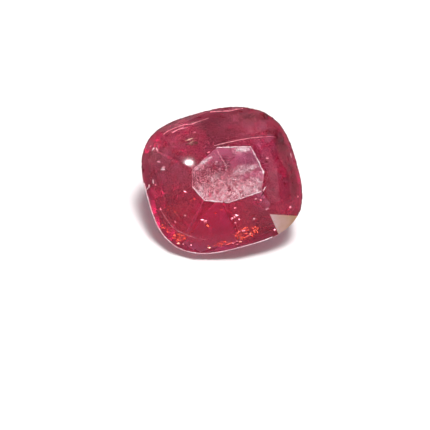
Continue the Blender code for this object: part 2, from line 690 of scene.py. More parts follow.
class Tone(Enum):
    """What a chip, a fleck or an inclusion shows as.

    Each has the two colours that it wavers between, its roughness, and whether it mirrors light as a painted
    glint.
    """

    FROST = ((0.98, 0.88, 0.90), (0.80, 0.52, 0.58), 0.50, False)
    ROSE = ((0.95, 0.52, 0.58), (0.80, 0.32, 0.38), 0.40, False)
    # Scarlet dust: painted glow, for the red light that the stone sends back through its lower front.
    SCARLET = ((1.00, 0.14, 0.13), (0.98, 0.06, 0.08), 0.40, False)
    # Painted glints: pink and orange mirror flakes, set to throw the key light at the camera, for light
    # focused inside the stone.
    PINK_GLINT = ((0.75, 0.26, 0.32), (0.50, 0.09, 0.13), 0.35, True)
    EMBER = ((0.95, 0.15, 0.09), (0.70, 0.06, 0.04), 0.40, True)
    EMBER_GLINT = ((0.90, 0.42, 0.32), (0.60, 0.20, 0.14), 0.35, True)
    # Dark crimson: dark specks and spots, and painted shade where its dust darkens the body and the far
    # girdle.
    GARNET = ((0.18, 0.015, 0.030), (0.05, 0.006, 0.012), 0.35, False)
    SANDED = ((1.00, 0.72, 0.78), (0.95, 0.42, 0.50), 0.50, False)
    OLIVE = ((0.20, 0.17, 0.09), (0.05, 0.06, 0.03), 0.45, False)
    TAN = ((0.72, 0.50, 0.38), (0.45, 0.28, 0.20), 0.50, False)

    @property
    def label(self) -> str:
        """The name of its material and its pieces, in small letters."""
        return self.name.lower()

    @property
    def glints(self) -> bool:
        """Whether it is a painted glint, a mirror that lies as it throws the key light at the camera."""
        return self.value[3]

    def material(self, setting: Setting) -> bpy.types.Material:
        """The tone's material, built when it is first asked for.

        Args:
            setting: Where the stone lies.

        Returns:
            The material.
        """
        if self.label in bpy.data.materials:
            return bpy.data.materials[self.label]
        return GrainFinish().material(setting, self.label, self.value)


def as_mesh(shape: bmesh.types.BMesh, name: str) -> bpy.types.Mesh:
    """Keeps a finished shape as a mesh, and frees it.

    Args:
        shape: The shape.
        name: What the mesh is called.

    Returns:
        The mesh.
    """
    mesh = bpy.data.meshes.new(name)
    shape.to_mesh(mesh)
    shape.free()
    return mesh


def as_piece(shape: bmesh.types.BMesh, name: str, material: bpy.types.Material) -> bpy.types.Object:
    """Makes an object of a finished mesh, with its place in its mesh.

    Args:
        shape: The mesh, in metres in the world. It is freed.
        name: What the piece is called.
        material: Its finish.

    Returns:
        The object, linked to the scene.
    """
    mesh = as_mesh(shape, name)
    mesh.materials.append(material)
    piece = bpy.data.objects.new(name, mesh)
    bpy.context.scene.collection.objects.link(piece)
    return piece


def cover_grid(half: float, step: float, inside: Callable[[Vector], bool]) -> bmesh.types.BMesh:
    """A level grid round the stone's axis, with the layer "cover" on its points.

    Args:
        half: Half its width in millimetres.
        step: Spacing in millimetres of its points.
        inside: Tells whether the point at a place is kept.

    Returns:
        The grid, in the stone's millimetres.
    """
    grid = bmesh.new()
    grid.verts.layers.float.new("cover")
    count = int(2 * half / step)
    bmesh.ops.create_grid(grid, x_segments=count, y_segments=count, size=half)
    outside = [corner for corner in grid.verts if not inside(corner.co.xy)]
    bmesh.ops.delete(grid, geom=outside, context="VERTS")
    return grid


def grown(
    name: str, base: bpy.types.Mesh, tree: bpy.types.NodeTree, values: dict, place: Matrix
) -> bpy.types.Object:
    """Runs a Geometry Nodes tree on a mesh and keeps what it makes as a plain mesh.

    Args:
        name: What the piece is called.
        base: The mesh that the tree starts from, in the stone's millimetres.
        tree: The tree.
        values: The tree's inputs by name.
        place: The matrix from the stone's millimetres to the world.

    Returns:
        The object, at the origin, with its place in its mesh.
    """
    piece = bpy.data.objects.new(name, base)
    modifier = piece.modifiers.new("growth", "NODES")
    modifier.node_group = tree
    for item in tree.interface.items_tree:
        if item.item_type == "SOCKET" and item.in_out == "INPUT" and item.name in values:
            modifier[item.identifier] = values[item.name]
    bpy.context.scene.collection.objects.link(piece)
    result = bpy.data.meshes.new_from_object(piece.evaluated_get(bpy.context.evaluated_depsgraph_get()))
    piece.modifiers.remove(modifier)
    piece.data = result
    bpy.data.meshes.remove(base)
    result.name = name
    result.transform(place)
    return piece


def new_tree(name: str, inputs: dict[str, str]) -> tuple[Wiring, bpy.types.Node, bpy.types.Node]:
    """Starts a Geometry Nodes tree.

    Args:
        name: What the tree is called.
        inputs: The kind of socket of each named input, after the geometry.

    Returns:
        Its wiring, and its input and output nodes.
    """
    tree = bpy.data.node_groups.new(name, "GeometryNodeTree")
    tree.interface.new_socket("Geometry", in_out="INPUT", socket_type="NodeSocketGeometry")
    for label, kind in inputs.items():
        tree.interface.new_socket(label, in_out="INPUT", socket_type=kind)
    tree.interface.new_socket("Geometry", in_out="OUTPUT", socket_type="NodeSocketGeometry")
    return Wiring(tree), tree.nodes.new("NodeGroupInput"), tree.nodes.new("NodeGroupOutput")


def finish_tree(
    wiring: Wiring, shape: bpy.types.NodeSocket, material: bpy.types.Material, result: bpy.types.Node
) -> bpy.types.NodeTree:
    """Ends a Geometry Nodes tree with plain faces in a material.

    Args:
        wiring: The tree's wiring.
        shape: The socket with what the tree has made.
        material: The finish of all of it.
        result: The tree's output node.

    Returns:
        The tree.
    """
    real = wiring.node("GeometryNodeRealizeInstances", {"Geometry": shape})
    inputs = {"Geometry": real.outputs["Geometry"], "Material": material}
    dressed = wiring.node("GeometryNodeSetMaterial", inputs)
    wiring.link(dressed.outputs["Geometry"], result, "Geometry")
    return wiring.tree


@dataclass(frozen=True)
class Sight:
    """What the camera sees of the stone: it turns a pixel of the photograph into a place on it.

    Args:
        eye: The camera's place, in the stone's millimetres.
        turn: The camera's rotation, in the stone's frame.
        half: Half the frame's width at a distance of 1.
        surface: The stone's surface, in millimetres.
        key: The direction of the strongest light, in the stone's frame.
    """

    eye: Vector
    turn: Matrix
    half: float
    surface: BVHTree
    key: Vector

    @classmethod
    def through(
        cls, camera: bpy.types.Object, setting: Setting, stone: bmesh.types.BMesh, key: Vector
    ) -> "Sight":
        """The sight of a stone through a camera.

        Args:
            camera: The camera.
            setting: Where the stone lies.
            stone: The stone's mesh, in millimetres.
            key: World direction of the strongest light.

        Returns:
            The sight.
        """
        inward = setting.place.inverted()
        turn = inward.to_quaternion().to_matrix() @ camera.matrix_world.to_quaternion().to_matrix()
        half = camera.data.sensor_width / camera.data.lens / 2
        surface = BVHTree.FromBMesh(stone)
        toward = (inward.to_3x3() @ key).normalized()
        return cls(inward @ camera.matrix_world.translation, turn, half, surface, toward)

    def touch(self, pixel: Pixel) -> tuple[Vector, Vector]:
        """Where the line of sight through a pixel meets the stone.

        Args:
            pixel: The place in the photograph.

        Returns:
            The point in the stone's millimetres, and the flat's normal there.
        """
        right = (pixel[0] / PHOTO_SIZE * 2 - 1) * self.half
        above = (1 - pixel[1] / PHOTO_SIZE * 2) * self.half
        point, normal, _, _ = self.surface.ray_cast(self.eye, self.turn @ Vector((right, above, -1)))
        return point, normal

    def pixel(self, place: Vector) -> Pixel:
        """Where the photograph shows a place.

        Args:
            place: The place, in the stone's millimetres.

        Returns:
            Its pixel.
        """
        seen = self.turn.transposed() @ (place - self.eye)
        across, above = seen.x / -seen.z / self.half, seen.y / -seen.z / self.half
        return (1 + across) / 2 * PHOTO_SIZE, (1 - above) / 2 * PHOTO_SIZE

    def axes(self, pixel: Pixel, turn: float, glints: bool = False) -> Matrix:
        """Axes on the flat at a pixel.

        Args:
            pixel: The place in the photograph.
            turn: Degrees from the picture's right, anticlockwise, that the first axis shows at.
            glints: Whether the third axis lies so that a mirror there throws the key light back.

        Returns:
            A matrix in the stone's millimetres, its third axis the flat's normal unless it glints.
        """
        point, normal = self.touch(pixel)
        if glints:
            normal = ((self.eye - point).normalized() + self.key).normalized()
        shown = self.turn @ Vector((math.cos(math.radians(turn)), math.sin(math.radians(turn)), 0))
        first = (shown - normal * shown.dot(normal)).normalized()
        second = normal.cross(first)
        return Matrix.Translation(point) @ Matrix((first, second, normal)).transposed().to_4x4()


@dataclass(frozen=True)
class Flake:
    """A small flat inclusion, chip or painted glint with a ragged rim.

    Args:
        pixel: Where the photograph shows its middle.
        size: Length and width in millimetres.
        turn: Degrees from the picture's right, anticlockwise, that its length lies at.
        tone: What it shows as.
        depth: Millimetres from the surface to its middle.
    """

    # Its thickness as a share of its width, which counts up to so many millimetres.
    THICKNESS: ClassVar[float] = 0.3
    WIDTH_COUNTED: ClassVar[float] = 0.16
    # How ragged its rim is, in how many teeth, and what sets one rim off from the next.
    RAGGEDNESS: ClassVar[float] = 0.6
    RAG_SCALE: ClassVar[float] = 1.4
    SEED_STRIDE: ClassVar[float] = 7.3

    pixel: Pixel
    size: tuple[float, float]
    turn: float
    tone: Tone
    depth: float = 0.0

    def add(self, shape: bmesh.types.BMesh, sight: Sight, seed: int) -> None:
        """Adds the flake to a mesh.

        Args:
            shape: The mesh, in the stone's millimetres.
            sight: What the camera sees of the stone.
            seed: Which ragged rim it gets.
        """
        length, width = self.size
        thick = self.THICKNESS * min(width, self.WIDTH_COUNTED)
        sunk = Matrix.Translation((0, 0, -self.depth))
        place = sight.axes(self.pixel, self.turn, self.tone.glints) @ sunk
        shift = Vector((seed * self.SEED_STRIDE, 0, 0))
        for corner in bmesh.ops.create_icosphere(shape, subdivisions=2, radius=1)["verts"]:
            ragged = 1 + self.RAGGEDNESS * noise.noise(corner.co * self.RAG_SCALE + shift)
            x, y, z = corner.co
            corner.co = place @ Vector((x * ragged * length / 2, y * ragged * width / 2, z * thick / 2))


@dataclass(frozen=True)
class Cluster:
    """A close group of small flakes that shows as one patch.

    Args:
        pixel: Where the photograph shows its middle.
        size: Half its length and half its width, in pixels.
        turn: Degrees from the picture's right, anticlockwise, that its length lies at.
        tone: What it shows as.
        count: How many flakes it has.
        grain: Length in millimetres of its longest flake.
        depth: Millimetres from the surface to the middle of each flake; below 0 it stands proud.
    """

    # A flake's length as a share of the longest one's, and its width as a share of its length.
    LENGTHS: ClassVar[tuple[float, float]] = (0.5, 1.0)
    WIDTHS: ClassVar[tuple[float, float]] = (0.5, 0.8)

    pixel: Pixel
    size: tuple[float, float]
    turn: float
    tone: Tone
    count: int
    grain: float = 0.20
    depth: float = 0.0

    def flakes(self, seed: int) -> list[Flake]:
        """Spreads its flakes.

        Args:
            seed: Which of many like patterns they lie in.

        Returns:
            The flakes.
        """
        dice = random.Random(seed)
        lean = math.radians(self.turn)
        found = []
        for _ in range(self.count):
            angle, far = dice.uniform(0, math.tau), math.sqrt(dice.random())
            along, aside = self.size[0] * far * math.cos(angle), self.size[1] * far * math.sin(angle)
            across = along * math.cos(lean) - aside * math.sin(lean)
            up = along * math.sin(lean) + aside * math.cos(lean)
            long = self.grain * dice.uniform(*self.LENGTHS)
            size = (long, long * dice.uniform(*self.WIDTHS))
            spot = (self.pixel[0] + across, self.pixel[1] - up)
            found.append(Flake(spot, size, dice.uniform(0, 180), self.tone, self.depth))
        return found


@dataclass(frozen=True)
class Inclusions:
    """What is sealed in the crystal close under the crown, the chips in its surface, and painted glints."""

    # The orange and pink clusters are painted glints and glow: mirror flakes that throw the key light at the
    # camera.
    clusters: tuple[Cluster, ...] = (
        Cluster((247.0, 233.0), (13.0, 5.5), 20, Tone.EMBER, 60, 0.09, -0.025),
        Cluster((179.0, 237.6), (7.0, 4.0), -15, Tone.EMBER, 26, 0.09, -0.025),
        Cluster((220.0, 244.4), (12.0, 2.2), 8, Tone.EMBER, 24, 0.08, -0.025),
        Cluster((164.0, 228.0), (7.0, 2.0), -45, Tone.EMBER, 10, 0.08, -0.025),
        Cluster((170.0, 210.0), (6.0, 5.0), 0, Tone.EMBER, 7, 0.06),
        Cluster((194.0, 198.5), (5.0, 3.0), 0, Tone.EMBER, 6, 0.06),
        Cluster((224.0, 208.0), (7.0, 3.5), 0, Tone.EMBER, 7, 0.05),
        Cluster((204.6, 221.8), (3.2, 2.4), -40, Tone.PINK_GLINT, 6, 0.16),
        Cluster((235.6, 217.4), (5.0, 2.6), 10, Tone.PINK_GLINT, 5, 0.13),
        Cluster((238.0, 242.0), (6.0, 1.6), 10, Tone.PINK_GLINT, 5, 0.12),
    )
    flakes: tuple[Flake, ...] = (
        Flake((153.4, 148.8), (0.20, 0.08), 40, Tone.FROST),
        Flake((156.8, 149.2), (0.18, 0.08), -45, Tone.FROST),
        Flake((150.6, 146.2), (0.10, 0.06), 20, Tone.ROSE),
        Flake((158.8, 161.8), (0.20, 0.07), -10, Tone.ROSE),
        Flake((163.0, 169.4), (0.27, 0.08), 0, Tone.FROST),
        Flake((163.4, 167.2), (0.18, 0.05), 5, Tone.ROSE),
        Flake((153.2, 182.0), (0.22, 0.08), 100, Tone.FROST),
        Flake((155.6, 184.7), (0.10, 0.08), 30, Tone.ROSE),
        Flake((149.0, 186.3), (0.20, 0.08), 78, Tone.FROST),
        Flake((147.4, 188.7), (0.15, 0.06), 35, Tone.FROST),
        Flake((160.8, 209.2), (0.14, 0.09), -60, Tone.PINK_GLINT),
        Flake((175.6, 221.3), (0.20, 0.12), -25, Tone.PINK_GLINT, 0.03),
        Flake((185.0, 215.6), (0.09, 0.08), 0, Tone.ROSE),
        Flake((185.6, 191.8), (0.22, 0.07), -30, Tone.PINK_GLINT),
        Flake((208.7, 152.3), (0.15, 0.08), 20, Tone.PINK_GLINT),
        Flake((194.6, 132.3), (0.12, 0.08), 0, Tone.ROSE),
        Flake((202.6, 219.8), (0.26, 0.08), -12, Tone.PINK_GLINT),
        Flake((205.2, 220.8), (0.18, 0.13), -60, Tone.PINK_GLINT),
        Flake((207.4, 225.0), (0.24, 0.11), -55, Tone.EMBER, 0.01),
        Flake((215.6, 213.2), (0.10, 0.07), 45, Tone.EMBER),
        Flake((237.0, 215.6), (0.20, 0.11), 25, Tone.PINK_GLINT),
        Flake((232.0, 218.6), (0.15, 0.12), 10, Tone.PINK_GLINT),
        Flake((239.0, 219.2), (0.12, 0.09), -15, Tone.PINK_GLINT),
        Flake((235.0, 207.8), (0.14, 0.10), 20, Tone.PINK_GLINT),
        Flake((235.6, 222.4), (0.13, 0.06), 40, Tone.PINK_GLINT, 0.01),
        Flake((178.3, 243.0), (0.18, 0.11), 5, Tone.EMBER_GLINT),
        Flake((183.2, 244.0), (0.10, 0.07), 20, Tone.PINK_GLINT),
        Flake((191.2, 244.9), (0.12, 0.09), 60, Tone.PINK_GLINT),
        Flake((209.2, 247.5), (0.17, 0.10), 0, Tone.EMBER_GLINT),
        Flake((249.8, 233.8), (0.11, 0.10), 0, Tone.EMBER_GLINT),
        Flake((242.4, 230.6), (0.32, 0.10), 14, Tone.PINK_GLINT, 0.01),
        Flake((240.0, 241.6), (0.17, 0.09), -25, Tone.EMBER_GLINT),
        Flake((237.0, 240.8), (0.11, 0.10), 0, Tone.PINK_GLINT),
        Flake((232.4, 242.9), (0.11, 0.09), 0, Tone.PINK_GLINT),
        Flake((237.6, 244.0), (0.12, 0.06), 10, Tone.PINK_GLINT, 0.01),
        Flake((274.6, 229.4), (0.17, 0.12), 70, Tone.PINK_GLINT),
        Flake((290.2, 207.0), (0.12, 0.10), 80, Tone.PINK_GLINT),
        Flake((298.0, 196.6), (0.11, 0.08), 80, Tone.ROSE),
        Flake((267.2, 209.0), (0.18, 0.07), 35, Tone.ROSE),
        Flake((254.0, 218.8), (0.11, 0.09), 0, Tone.ROSE),
        Flake((264.3, 189.0), (0.26, 0.05), 50, Tone.FROST),
        Flake((261.0, 189.6), (0.12, 0.08), 60, Tone.GARNET, 0.03),
        Flake((263.0, 193.8), (0.26, 0.08), 55, Tone.GARNET, 0.05),
        Flake((255.8, 199.0), (0.11, 0.08), 20, Tone.ROSE),
        Flake((260.6, 200.0), (0.13, 0.09), -20, Tone.PINK_GLINT),
        Flake((266.8, 161.8), (0.15, 0.08), -40, Tone.GARNET, 0.03),
        Flake((267.2, 158.3), (0.15, 0.07), 0, Tone.ROSE),
        Flake((291.0, 155.4), (0.24, 0.05), 80, Tone.FROST),
        Flake((169.2, 225.2), (0.20, 0.06), -50, Tone.GARNET, 0.06),
        Flake((187.8, 144.2), (0.20, 0.08), 10, Tone.OLIVE, 0.03),
        Flake((192.4, 144.4), (0.14, 0.08), 40, Tone.OLIVE, 0.03),
        Flake((196.4, 142.9), (0.18, 0.11), 0, Tone.OLIVE, 0.03),
        Flake((189.6, 139.4), (0.42, 0.06), 28, Tone.TAN),
        Flake((191.4, 142.2), (0.28, 0.05), 38, Tone.TAN),
        Flake((252.0, 115.6), (0.30, 0.07), 0, Tone.GARNET, 0.06),
    )

    def build(self, sight: Sight, setting: Setting) -> list[bpy.types.Object]:
        """Makes one piece of the flakes of each tone.

        Args:
            sight: What the camera sees of the stone.
            setting: Where the stone lies.

        Returns:
            The pieces.
        """
        pieces = []
        flakes = list(self.flakes)
        for seed, cluster in enumerate(self.clusters):
            flakes += cluster.flakes(seed)
        for tone in Tone:
            shape = bmesh.new()
            for seed, flake in enumerate(flakes):
                if flake.tone is tone:
                    flake.add(shape, sight, seed)
            if not shape.faces:
                shape.free()
                continue
            shape.transform(setting.place)
            pieces.append(as_piece(shape, f"inclusions_{tone.label}", tone.material(setting)))
        return pieces


@dataclass(frozen=True)
class Strewing:
    """Flecks strewn over a sheet, each a grain with four flat sides, thick where the cover is full.

    Args:
        density: Flecks in a square millimetre where the cover is full.
        smallest: Radius of the smallest fleck in millimetres.
        largest: Radius of the largest fleck in millimetres.
        seed: Which of many like patterns it is.
    """

    # How many sides stand on a fleck's foot, and its height where the foot's radius is 1.
    SIDES: ClassVar[int] = 3
    HEIGHT: ClassVar[float] = 1.4

    density: float
    smallest: float
    largest: float
    seed: int

    def tree(self, material: bpy.types.Material) -> bpy.types.NodeTree:
        """The Geometry Nodes tree that strews the flecks.

        Args:
            material: Their finish.

        Returns:
            The tree, for a mesh with the attribute "cover" on its points.
        """
        inputs = {
            "Density": "NodeSocketFloat",
            "Smallest": "NodeSocketFloat",
            "Largest": "NodeSocketFloat",
            "Seed": "NodeSocketInt",
        }
        wiring, given, result = new_tree("strewn_flecks", inputs)
        seed = given.outputs["Seed"]
        cover = wiring.node("GeometryNodeInputNamedAttribute", {"Name": "cover"}, data_type="FLOAT")
        dense = wiring.math("MULTIPLY", cover.outputs["Attribute"], given.outputs["Density"])
        over = {"Mesh": given.outputs["Geometry"], "Density": dense, "Seed": seed}
        strewn = wiring.node("GeometryNodeDistributePointsOnFaces", over)
        pointed = {"Vertices": self.SIDES, "Radius Top": 0.0, "Radius Bottom": 1.0, "Depth": self.HEIGHT}
        fleck = wiring.node("GeometryNodeMeshCone", pointed)
        sizes = {
            RANDOM_LEAST: given.outputs["Smallest"], RANDOM_MOST: given.outputs["Largest"], "Seed": seed
        }
        size = wiring.node("FunctionNodeRandomValue", sizes)
        turns = {RANDOM_VECTOR_MOST: (math.tau,) * 3, "Seed": seed}
        turn = wiring.node("FunctionNodeRandomValue", turns, data_type="FLOAT_VECTOR")
        placed = wiring.node(
            "GeometryNodeInstanceOnPoints",
            {
                "Points": strewn.outputs["Points"],
                "Instance": fleck.outputs["Mesh"],
                "Rotation": turn.outputs["Value"],
                "Scale": size.outputs[RANDOM_RESULT],
            },
        )
        return finish_tree(wiring, placed.outputs["Instances"], material, result)

    def build(self, name: str, sheet: bpy.types.Mesh, tone: Tone, setting: Setting) -> bpy.types.Object:
        """Makes the flecks.

        Args:
            name: What the piece is called.
            sheet: What they lie on, in the stone's millimetres, with the attribute "cover".
            tone: What they show as.
            setting: Where the stone lies.

        Returns:
            One piece that holds them all.
        """
        values = {
            "Density": self.density, "Smallest": self.smallest, "Largest": self.largest, "Seed": self.seed
        }
        return grown(name, sheet, self.tree(tone.material(setting)), values, setting.place)


@dataclass(frozen=True)
class Veil:
    """A cloud or a healed crack in the crystal: a bent sheet of dust.

    Args:
        pixel: Where the photograph shows its middle.
        size: Length and width in millimetres.
        turn: Degrees from the picture's right, anticlockwise, that its length lies at.
        tone: What its dust shows as.
        cover: Share of full cover at its middle.
        depth: Millimetres under the surface.
        crispness: How late the dust thins out toward the sheet's rim; 2 is soft.
    """

    # How thick the dust lies on average, how far that strays, and its patches in a millimetre.
    MEAN: ClassVar[float] = 0.9
    RAGGEDNESS: ClassVar[float] = 1.6
    RAG_SCALE: ClassVar[float] = 2.3
    # Bends of the sheet in a millimetre.
    BEND_SCALE: ClassVar[float] = 1.7

    pixel: Pixel
    size: tuple[float, float]
    turn: float
    tone: Tone
    cover: float
    depth: float = 0.08
    crispness: int = 2

    def add(self, sheets: bmesh.types.BMesh, sight: Sight, step: float, bend: float) -> None:
        """Adds the veil to a mesh of sheets.

        Args:
            sheets: The mesh, in the stone's millimetres, with the layer "cover" on its points.
            sight: What the camera sees of the stone.
            step: Spacing in millimetres of the sheet's points.
            bend: Millimetres that the sheet waves up and down.
        """
        cover = sheets.verts.layers.float["cover"]
        place = sight.axes(self.pixel, self.turn)
        length, width = self.size
        across, along = max(2, int(length / step)), max(2, int(width / step))
        made = bmesh.ops.create_grid(sheets, x_segments=across, y_segments=along, size=1)["verts"]
        for corner in made:
            x, y = corner.co.xy
            spot = place @ Vector((x * length / 2, y * width / 2, -self.depth))
            ragged = self.MEAN + self.RAGGEDNESS * noise.noise(spot * self.RAG_SCALE)
            fade = (1 - x**self.crispness) * (1 - y**self.crispness)
            corner[cover] = max(0.0, self.cover * ragged * fade)
            sag = bend * (1 + noise.noise(spot * self.BEND_SCALE))
            corner.co = spot - place.to_3x3() @ Vector((0, 0, sag))


@dataclass(frozen=True)
class Cloudiness:
    """The clouds of fine dust that make the crystal look soft inside, with dust that paints light and shade
    in it.

    Args:
        strewing: How the dust is strewn.
        step: Spacing in millimetres of a sheet's points.
        bend: Millimetres that a sheet waves up and down.
        veils: The clouds.
    """

    strewing: Strewing = Strewing(density=2400.0, smallest=0.004, largest=0.012, seed=3)
    step: float = 0.05
    bend: float = 0.05
    veils: tuple[Veil, ...] = (
        Veil((178, 145), (0.7, 0.25), 15, Tone.FROST, 0.7),
        Veil((160.5, 154), (0.5, 0.4), 60, Tone.OLIVE, 0.5),
        Veil((192, 143), (0.7, 0.4), 20, Tone.OLIVE, 0.6),
        Veil((155, 152), (0.5, 0.6), 60, Tone.FROST, 0.25),
        # The next three, crisp pale sheets at the right and the top, are painted light: lighter facets seen
        # inside the stone.
        Veil((273, 186), (1.7, 0.8), 98, Tone.ROSE, 1.90, 0.06, 12),
        Veil((269, 160), (1.0, 0.6), 102, Tone.ROSE, 0.90, 0.12, 12),
        Veil((246, 123), (1.5, 1.2), 100, Tone.ROSE, 1.10, 0.12, 12),
        Veil((178, 122), (1.6, 0.5), 25, Tone.ROSE, 0.35, 0.12),
        Veil((180, 217), (2.0, 1.4), -45, Tone.ROSE, 0.16, 0.15),
        # Scarlet dust at the lower front: painted glow.
        Veil((176, 211), (0.6, 0.5), 0, Tone.SCARLET, 0.6, 0.10),
        Veil((194, 197), (0.5, 0.5), 0, Tone.SCARLET, 0.6, 0.10),
        Veil((180, 238), (0.8, 0.6), 0, Tone.SCARLET, 1.2, 0.06),
        Veil((218, 245), (1.1, 0.35), 8, Tone.SCARLET, 1.2, 0.04),
        Veil((246, 234), (1.4, 0.8), 18, Tone.SCARLET, 1.2, 0.06),
        # Dark dust: painted shade over the darker zones of the body.
        Veil((226, 216), (0.5, 0.4), -20, Tone.GARNET, 0.8, 0.10),
        Veil((248, 113), (1.0, 0.4), 0, Tone.GARNET, 0.6, 0.10),
        Veil((170, 222), (1.8, 0.35), -52, Tone.GARNET, 0.5, 0.15),
        Veil((190, 216), (0.9, 0.6), -30, Tone.GARNET, 0.4, 0.20),
        Veil((222, 231), (1.4, 0.5), 12, Tone.GARNET, 0.4, 0.20),
        Veil((262, 222), (0.8, 0.6), 30, Tone.GARNET, 0.4, 0.15),
        # Pink glint dust: painted sparkle.
        Veil((236, 216), (0.9, 0.6), 10, Tone.PINK_GLINT, 0.35, 0.08),
        Veil((206, 222), (0.6, 0.5), 10, Tone.PINK_GLINT, 0.35, 0.08),
    )

    def build(self, sight: Sight, setting: Setting) -> list[bpy.types.Object]:
        """Makes one piece of the dust of each tone.

        Args:
            sight: What the camera sees of the stone.
            setting: Where the stone lies.

        Returns:
            The pieces.
        """
        pieces = []
        for tone in Tone:
            veils = [veil for veil in self.veils if veil.tone is tone]
            if veils:
                sheets = bmesh.new()
                sheets.verts.layers.float.new("cover")
                for veil in veils:
                    veil.add(sheets, sight, self.step, self.bend)
                mesh = as_mesh(sheets, "veils")
                pieces.append(self.strewing.build(f"cloud_{tone.label}", mesh, tone, setting))
        return pieces


@dataclass(frozen=True)
class Patch:
    """A patch of a sheet where the flecks lie thicker, or with a cover below 0 thinner.

    Args:
        pixel: Where the photograph shows its middle.
        size: Half its length and half its width, in pixels.
        turn: Degrees from the picture's right, anticlockwise, that its length lies at.
        cover: How much it adds to the share of full cover.
    """

    pixel: Pixel
    size: tuple[float, float]
    turn: float
    cover: float

    def share(self, pixel: Pixel) -> float:
        """What the patch adds at a pixel.

        Args:
            pixel: The place in the photograph.

        Returns:
            The share of full cover, falling off evenly round the patch's middle.
        """
        across, down = pixel[0] - self.pixel[0], self.pixel[1] - pixel[1]
        angle = math.radians(self.turn)
        along = (across * math.cos(angle) + down * math.sin(angle)) / self.size[0]
        aside = (down * math.cos(angle) - across * math.sin(angle)) / self.size[1]
        return self.cover * math.exp(-(along**2 + aside**2))


@dataclass(frozen=True)
class Silk:
    """A layer of fine dust that hangs under the whole crown and softens what is seen behind it.

    Args:
        tone: What the dust shows as.
        depth: Millimetres under the crown.
        reach: Share of the girdle's outline that it fills.
        cover: Share of full cover away from its patches.
        seed: Which of many like patterns it is.
        patches: Where it is thicker or thinner.
    """

    # Clumps of dust in a millimetre.
    CLUMP_SCALE: ClassVar[float] = 1.1

    tone: Tone
    depth: float
    reach: float
    cover: float
    seed: int
    patches: tuple[Patch, ...] = ()

    def sheet(self, stone: CutStone, sight: Sight, step: float) -> bpy.types.Mesh:
        """The sheet that carries the layer's cover.

        Args:
            stone: The stone's dimensions.
            sight: What the camera sees of the stone.
            step: Spacing in millimetres of its points.

        Returns:
            A mesh in the stone's millimetres, with the attribute "cover" on its points.
        """

        def inside(place: Vector) -> bool:
            """Whether a place in the girdle plane is in the layer's share of the outline."""
            edge = stone.outline_point(math.atan2(place.y, place.x))
            return place.length <= edge.length * self.reach

        grid = cover_grid(stone.girdle_length / 2, step, inside)
        cover = grid.verts.layers.float["cover"]
        shift = Vector((self.seed, 0, 0))
        for corner in grid.verts:
            surface = stone.crown_at(corner.co.xy)
            pixel = sight.pixel(surface)
            corner.co = surface - Vector((0, 0, self.depth))
            clumps = 1 + noise.noise(corner.co * self.CLUMP_SCALE + shift)
            corner[cover] = max(0.0, (self.cover + sum(p.share(pixel) for p in self.patches)) * clumps)
        return as_mesh(grid, "silk_sheet")


@dataclass(frozen=True)
class SilkyBody:
    """The layers of dust that give the crystal its soft, slightly milky look, and that paint light and shade
    in it.

    Args:
        density: Grains in a square millimetre where the cover is full.
        smallest: Radius of the smallest grain in millimetres.
        largest: Radius of the largest grain in millimetres.
        step: Spacing in millimetres of a sheet's points.
        layers: The layers.
    """

    density: float = 4200.0
    smallest: float = 0.005
    largest: float = 0.010
    step: float = 0.15
    layers: tuple[Silk, ...] = (
        # Pale dust, thicker in the cloudy upper left and thinned where the body is darker: the thinning
        # paints shade.
        Silk(
            Tone.ROSE, 0.45, 0.90, 0.26, 21,
            (
                Patch((178, 142), (42, 34), 0, 0.22),
                Patch((293, 175), (13, 48), 0, -0.45),
                Patch((286, 134), (15, 15), 0, -0.35),
                Patch((213, 119), (13, 9), 0, -0.35),
                Patch((250, 158), (12, 9), 0, -0.30),
                Patch((205, 228), (60, 26), 0, -0.14),
            ),
        ),
        Silk(
            Tone.ROSE, 1.10, 0.76, 0.42, 22,
            (
                Patch((290, 175), (16, 48), 0, -0.45),
                Patch((213, 119), (14, 10), 0, -0.30),
                Patch((250, 158), (14, 10), 0, -0.30),
                Patch((205, 228), (60, 26), 0, -0.16),
            ),
        ),
        # Scarlet layers at the lower front: painted glow.
        Silk(Tone.SCARLET, 0.60, 0.88, 0.0, 23, (Patch((205, 228), (66, 28), 0, 0.80),)),
        Silk(Tone.SCARLET, 0.18, 0.96, 0.0, 25, (Patch((200, 222), (50, 24), 0, 0.60),)),
        Silk(Tone.TAN, 0.20, 0.94, 0.0, 26, (Patch((174, 146), (26, 11), 20, 0.25),)),
        # A dark layer, thickest at the right, the top and the table's right: painted shade.
        Silk(
            Tone.GARNET, 0.30, 0.94, 0.0, 24,
            (
                Patch((293, 178), (11, 42), 6, 1.50),
                Patch((285, 136), (13, 16), 0, 3.20),
                Patch((213, 119), (12, 9), 0, 1.80),
                Patch((260, 224), (16, 8), 20, 0.50),
                Patch((196, 160), (16, 8), 0, 0.30),
                Patch((250, 158), (11, 8), 0, 2.20),
                Patch((245, 111), (40, 5), 0, 0.30),
            ),
        ),
    )

    def build(self, stone: CutStone, sight: Sight, setting: Setting) -> list[bpy.types.Object]:
        """Makes one piece of each layer.

        Args:
            stone: The stone's dimensions.
            sight: What the camera sees of the stone.
            setting: Where the stone lies.

        Returns:
            The pieces.
        """
        pieces = []
        for layer in self.layers:
            strewing = Strewing(self.density, self.smallest, self.largest, layer.seed)
            sheet = layer.sheet(stone, sight, self.step)
            pieces.append(strewing.build(f"silk_{layer.seed}", sheet, layer.tone, setting))
        return pieces


